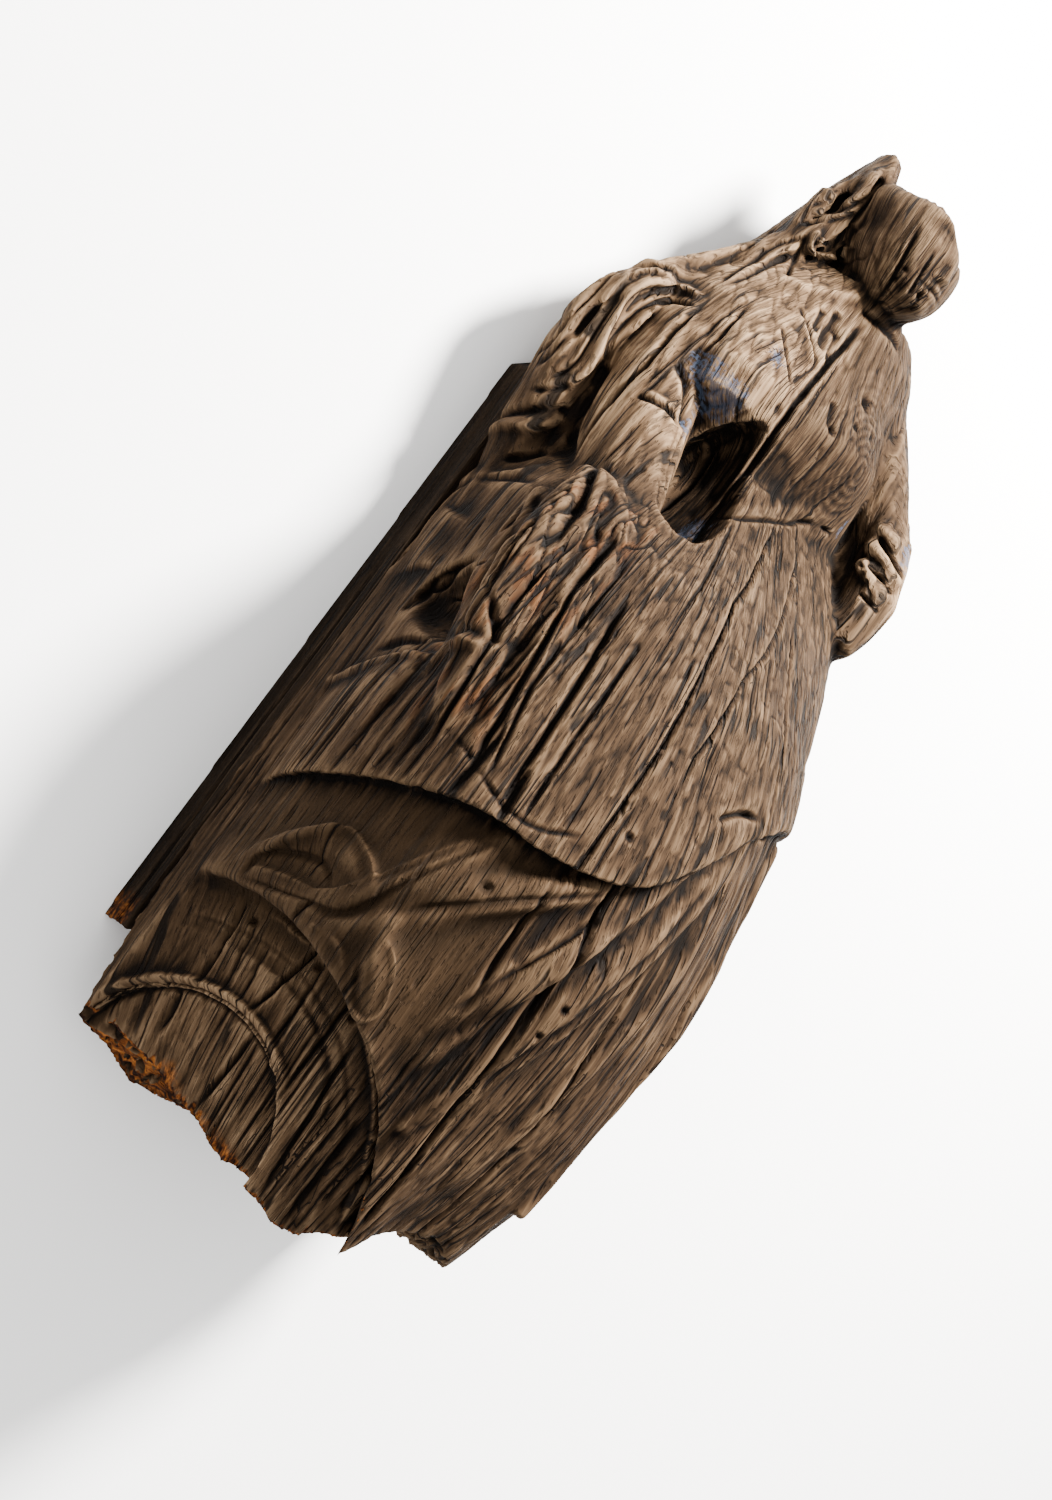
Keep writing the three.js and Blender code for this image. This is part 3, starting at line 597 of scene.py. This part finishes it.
stain = ease(below_hem, 0, 10) * between(final_angle, 104, 116, 178, 186)
stain *= ease(final[:, 1], -600, -540)
keep_mask(timber, "stain", stain)
fibrous = between(final_angle, 136, 142, 160, 168) * between(final[:, 1], -330, -200, 90, 120)
keep_mask(timber, "split", fibrous)
# Patches made lighter and the rest of the timber darker: partly its own bleaching, partly painted light and
# shade.
BLEACHED_AND_LIT_PATCHES = [
    ((-200, 450, 150), 110), ((-200, 330, 200), 110), ((-235, 250, 190), 70), ((-80, 500, 210), 100),
    ((-172, -680, 200), 120), ((-110, -740, 240), 90), ((70, -740, 250), 80), ((-20, 690, 190), 50),
    ((250, 330, 200), 70),
]
DARKENED = [((90, 380, 230), 80), ((-30, 380, 260), 50)]
PALE_ELSEWHERE = 0.2
pale = PALE_ELSEWHERE * (1 - near(final, DARKENED)) + near(final, BLEACHED_AND_LIT_PATCHES)
keep_mask(timber, "pale", np.clip(pale, 0, 1))
timber.data.polygons.foreach_set("use_smooth", [True] * len(timber.data.polygons))


class Value:
    """One socket of a material, with arithmetic that adds Math nodes"""

    def __init__(self, nodes, socket):
        self.nodes = nodes
        self.socket = socket

    def math(self, operation, *values):
        return self.nodes.add("Math", {"operation": operation}, dict(enumerate(values)))

    def __add__(self, other):
        return self.math("ADD", self, other)

    def __radd__(self, other):
        return self.math("ADD", other, self)

    def __sub__(self, other):
        return self.math("SUBTRACT", self, other)

    def __rsub__(self, other):
        return self.math("SUBTRACT", other, self)

    def __mul__(self, other):
        return self.math("MULTIPLY", self, other)

    def __rmul__(self, other):
        return self.math("MULTIPLY", other, self)

    def __abs__(self):
        return self.math("ABSOLUTE", self)

    def rise(self, start, end):
        """0 before start, 1 after end"""
        sockets = {0: self, 1: start, 2: end}
        return self.nodes.add("MapRange", {"interpolation_type": "SMOOTHSTEP"}, sockets)


class Nodes:
    """The nodes of one material, which ends in a Principled shader"""

    def __init__(self, name):
        self.material = bpy.data.materials.new(name)
        self.material.use_nodes = True
        self.tree = self.material.node_tree
        self.shader = self.tree.nodes["Principled BSDF"]

    def add(self, kind, settings=None, inputs=None, output=0):
        """A node of a kind, with its settings and then its sockets' values or links"""
        node = self.tree.nodes.new("ShaderNode" + kind)
        for key, value in (settings or {}).items():
            if key == "stops":
                self.set_ramp(node.color_ramp.elements, value)
            else:
                setattr(node, key, value)
        for key, value in (inputs or {}).items():
            if isinstance(value, Value):
                self.tree.links.new(value.socket, node.inputs[key])
            else:
                node.inputs[key].default_value = value
        return Value(self, node.outputs[output])

    def set_ramp(self, elements, stops):
        while len(elements) < len(stops):
            elements.new(0.5)
        for element, (place, colour) in zip(elements, stops):
            element.position = place
            element.color = (*colour, 1)

    def mask(self, name):
        """A mask that the mesh keeps on its points"""
        return self.add("Attribute", {"attribute_name": name}, {}, 2)

    def mix(self, factor, first, second, blend="MIX"):
        """A colour between two colours"""
        sockets = {0: factor, 6: first, 7: second}
        for key in (6, 7):
            if not isinstance(sockets[key], Value):
                sockets[key] = (*sockets[key], 1)
        return self.add("Mix", {"data_type": "RGBA", "blend_type": blend}, sockets, 2)

    def feed(self, name, value):
        self.tree.links.new(value.socket, self.shader.inputs[name])


def grained(nodes, across, along, detail=3.0, shift=0.0):
    """Noise drawn out along the grain: lumps of these sizes in millimetres"""
    position = nodes.add("Attribute", {"attribute_name": "grain"}, {}, 1)
    stretch = (TO_MM / across, TO_MM / along, TO_MM / across)
    sockets = {0: position, 1: stretch, 2: (shift, shift, shift)}
    placed = nodes.add("VectorMath", {"operation": "MULTIPLY_ADD"}, sockets)
    look = {"Vector": placed, "Scale": 1.0, "Detail": detail, "Roughness": 0.6}
    return nodes.add("TexNoise", {}, look)


SHAKE_BLACK = (0.0035, 0.0024, 0.0018)
GRAIN_RISE = 0.0022
DRY_SHINE = 0.04


def bare_wood(name, palette):
    """Weathered wood, with palette = dark, middle, pale and bleached colours"""
    dark_brown, middle, pale, bleached = palette
    nodes = Nodes(name)
    fibre = grained(nodes, 2.4, 130, 4.0, 0.0)
    streak = grained(nodes, 7, 420, 2.0, 5.0)
    patch = grained(nodes, 50, 160, 3.0, 9.0)
    line = abs(grained(nodes, 8, 620, 0.5, 14.0) - 0.5)
    check = (1 - line.rise(0.012, 0.05)) * grained(nodes, 20, 90, 2.0, 21.0).rise(0.45, 0.53)
    pore = grained(nodes, 2.0, 26, 2.0, 31.0).rise(0.55, 0.63)
    worn = nodes.mask("worn")
    # Worn ridges come out paler and hollows darker: wear on the ridges, painted shade in the hollows.
    tone = fibre * 0.42 + streak * 0.36 + patch * 0.25 + worn * 0.45 - 0.24
    stops = [(0.30, dark_brown), (0.45, middle), (0.60, pale), (0.78, bleached)]
    colour = nodes.add("ValToRGB", {"stops": stops}, {0: tone})
    colour = nodes.mix(pore * 0.45, colour, dark_brown)
    colour = nodes.mix(check * 0.9, colour, SHAKE_BLACK)
    # Deeper hollows go toward near-black: this is painted shade.
    colour = nodes.mix((1 - worn).rise(0.62, 1.0) * 0.85, colour, SHAKE_BLACK)
    height = fibre * 1.2 + streak * 0.7 - check * 1.4 - pore * 0.5
    return nodes, colour, height, patch


def rotten(nodes):
    """Crumbling brown rot, from near-black to orange"""
    stops = [(0.42, (0.010, 0.004, 0.0025)), (0.53, (0.085, 0.026, 0.006)), (0.70, (0.26, 0.090, 0.018))]
    return nodes.add("ValToRGB", {"stops": stops}, {0: grained(nodes, 5, 11, 4.0, 17.0)})


TIMBER_PALETTE = [
    (0.0062, 0.0034, 0.0017), (0.028, 0.0162, 0.0082), (0.067, 0.0405, 0.0220), (0.165, 0.108, 0.062),
]
STAIN_BROWN = (0.052, 0.031, 0.015)
DIMMED_ELSEWHERE = (0.22, 0.199, 0.177)
FRESH_AMBER = (1.0, 0.60, 0.34)
PAINT_BLUE = (0.034, 0.048, 0.078)
nodes, colour, height, patch = bare_wood("weathered_timber", TIMBER_PALETTE)
stain = nodes.mask("stain")
colour = nodes.mix(stain * (0.35 + patch * 0.4), colour, STAIN_BROWN)
# Outside the lighter patches the timber is darkened: partly real tone, partly painted shade.
colour = nodes.mix(1 - nodes.mask("pale"), colour, DIMMED_ELSEWHERE, "MULTIPLY")
amber = nodes.mask("split") * grained(nodes, 9, 60, 3.0, 40.0).rise(0.50, 0.66)
colour = nodes.mix(amber * 0.7, colour, FRESH_AMBER, "MULTIPLY")
paint = nodes.mask("paint")
flecks = (paint * 0.25 + grained(nodes, 4, 6, 4.0, 3.0) - 0.25).rise(0.34, 0.50)
colour = nodes.mix(flecks * paint.rise(0.05, 0.5) * 0.55, colour, PAINT_BLUE)
rot = nodes.mask("rot")
colour = nodes.mix((rot + patch * 0.4 - 0.2).rise(0.30, 0.6), colour, rotten(nodes))
shake = (1 - abs(nodes.mask("across")).rise(0.65, 1.35)) * nodes.mask("near").rise(0.30, 0.55)
colour = nodes.mix(shake * 0.96, colour, SHAKE_BLACK)
nodes.feed("Base Color", colour)
nodes.feed("Roughness", 0.78 + height * 0.08)
nodes.shader.inputs["Specular IOR Level"].default_value = DRY_SHINE
bump = {"Strength": 1.0, "Distance": GRAIN_RISE, "Height": height - shake * 1.2}
nodes.feed("Normal", nodes.add("Bump", {}, bump))
timber.data.materials.clear()
timber.data.materials.append(nodes.material)
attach(timber, "root")
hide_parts("figurehead")

# The backing plank
# A thick sawn board fixed flat behind the timber by fastenings that don't show. Its colour is much darker
# than the timber's, partly its own darker wood and partly painted shade. It is split along its edge and
# broken off short above the foot, where it is orange with rot.

PLANK_STEP = 3.2
PLANK_TRIANGLES = 60000
SPLIT_Z = 34
SPLIT_HALF_WIDTH, SPLIT_DEPTH = 2.4, 8
plank = fine_skin(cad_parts["back_plank"], "backing_plank", PLANK_STEP)
board = read_points(plank)
plank_low, plank_high = (np.array(corner) * TO_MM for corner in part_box("back_plank"))
board = smoothed(board, read_edges(plank), np.full(len(board), 0.5), 3)
write_points(plank, board)
board_normals = read_normals(plank)


def board_split(points):
    """The long split along the edge of the board, about its middle"""
    wander = 3 * noise(points, (900, 120, 900))
    return bell(points[:, 2] - SPLIT_Z - wander, SPLIT_HALF_WIDTH) * ease(-points[:, 1], 60, 160)


edge_face = 1 - ease(np.abs(board_normals[:, 2]), 0.6, 0.95)
board_relief = edge_face * (noise(board, (10, 300, 10)) + 0.8 * noise(board, (20, 200, 20), 4) - 2)
board_relief -= edge_face * SPLIT_DEPTH * board_split(board)
board_moved = board + board_normals * board_relief[:, None]
board_frayed = np.abs(7 * noise(board, (6, 300, 6), 3) + 8 * noise(board, (18, 300, 18), 8))
board_moved[:, 1] += board_frayed * ease(-board_normals[:, 1], 0.4, 0.8)
write_points(plank, np.clip(board_moved, plank_low, plank_high))
plank_thin = plank.modifiers.new("thin", "DECIMATE")
plank_thin.ratio = min(1.0, PLANK_TRIANGLES / (2 * len(plank.data.polygons)))
settle(plank)
board = read_points(plank)
keep_mask(plank, "rot", ease(-board[:, 1], 590, 625) * (1 - ease(board[:, 2], 44, 56)))
keep_mask(plank, "split", board_split(board))
keep_mask(plank, "worn", ridge_wear_and_hollow_shade(plank))
keep_grain(plank, board / TO_MM)
plank.data.polygons.foreach_set("use_smooth", [True] * len(plank.data.polygons))

# The plank's colours are far darker than the timber's: painted shade over a somewhat darker board.
SHADED_PLANK_PALETTE = [
    (0.0020, 0.0011, 0.0006), (0.0055, 0.0033, 0.0018), (0.012, 0.0073, 0.0041), (0.030, 0.0195, 0.0115),
]
nodes, colour, height, patch = bare_wood("shaded_plank_wood", SHADED_PLANK_PALETTE)
colour = nodes.mix(nodes.mask("rot") * 0.8, colour, rotten(nodes))
colour = nodes.mix(nodes.mask("split").rise(0.3, 0.9), colour, SHAKE_BLACK)
nodes.feed("Base Color", colour)
nodes.feed("Roughness", 0.82 + height * 0.06)
nodes.shader.inputs["Specular IOR Level"].default_value = DRY_SHINE
bump = {"Strength": 1.0, "Distance": GRAIN_RISE, "Height": height}
nodes.feed("Normal", nodes.add("Bump", {}, bump))
plank.data.materials.clear()
plank.data.materials.append(nodes.material)
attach(plank, "root")
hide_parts("back_plank")

# The floor
# A wide sheet of matt off-white paper that the figurehead lies on, its flat back down. It reaches
# far past what the camera sees.

FLOOR_HALF = 14.0
PAPER_WHITE = (0.895, 0.90, 0.905, 1)
floor_mesh = bpy.data.meshes.new("floor")
corners = [(-1, -1), (1, -1), (1, 1), (-1, 1)]
floor_mesh.from_pydata([(x * FLOOR_HALF, y * FLOOR_HALF, 0.0) for x, y in corners], [], [(0, 1, 2, 3)])
floor = bpy.data.objects.new("floor", floor_mesh)
bpy.context.scene.collection.objects.link(floor)
paper = Nodes("floor_paper")
paper.shader.inputs["Base Color"].default_value = PAPER_WHITE
paper.shader.inputs["Roughness"].default_value = 0.9
paper.shader.inputs["Specular IOR Level"].default_value = 0.1
floor_mesh.materials.append(paper.material)

# The light
# One large soft lamp above and beyond her head, a little to her left, which throws the shadow to
# her right and foot, and an even pale surround.

KEY_FROM = Vector((0.24, 0.74, 0.62)).normalized()
KEY_AWAY = 3.4
KEY_ACROSS = 1.0
KEY_POWER = 1800
KEY_COLOUR = (1.0, 0.965, 0.92)
SURROUND_COLOUR = (1.0, 0.985, 0.965, 1)
SURROUND_STRENGTH = 2.0
key_data = bpy.data.lights.new("key", "AREA")
key_data.shape = "DISK"
key_data.size = KEY_ACROSS
key_data.energy = KEY_POWER
key_data.color = KEY_COLOUR
key = bpy.data.objects.new("key", key_data)
key.location = KEY_FROM * KEY_AWAY
key.rotation_euler = KEY_FROM.to_track_quat("Z", "Y").to_euler()
bpy.context.scene.collection.objects.link(key)

surround = bpy.data.worlds.new("surround")
surround.use_nodes = True
backdrop = surround.node_tree.nodes["Background"]
backdrop.inputs["Color"].default_value = SURROUND_COLOUR
backdrop.inputs["Strength"].default_value = SURROUND_STRENGTH
bpy.context.scene.world = surround

# The camera
# It looks down on the lying figure from her right and a little from the foot, and is rolled so
# that she lies aslant with her head at the upper right.

LENS = 50.0
AIM = Vector((0.0, -0.114, 0.205))
AWAY = 2.6
ROUND_TO_RIGHT = math.radians(37)
DOWN_TO_FOOT = math.radians(12)
HEAD_ON_PICTURE = Vector((0.5835, 0.812)).normalized()
SHIFT_X, SHIFT_Y = -0.04, -0.01
toward = Vector((
    -math.sin(ROUND_TO_RIGHT) * math.cos(DOWN_TO_FOOT),
    -math.sin(DOWN_TO_FOOT),
    math.cos(ROUND_TO_RIGHT) * math.cos(DOWN_TO_FOOT),
))
headward = Vector((0, 1, 0))
headward = (headward - toward * headward.dot(toward)).normalized()
across = headward.cross(toward)
right = across * HEAD_ON_PICTURE.y + headward * HEAD_ON_PICTURE.x
up = headward * HEAD_ON_PICTURE.y - across * HEAD_ON_PICTURE.x
camera_data = bpy.data.cameras.new("camera")
camera_data.lens = LENS
camera_data.shift_x = SHIFT_X
camera_data.shift_y = SHIFT_Y
camera = bpy.data.objects.new("camera", camera_data)
turn = Matrix((right, up, toward)).transposed()
camera.matrix_world = Matrix.Translation(AIM + toward * AWAY) @ turn.to_4x4()
bpy.context.scene.collection.objects.link(camera)
bpy.context.scene.camera = camera
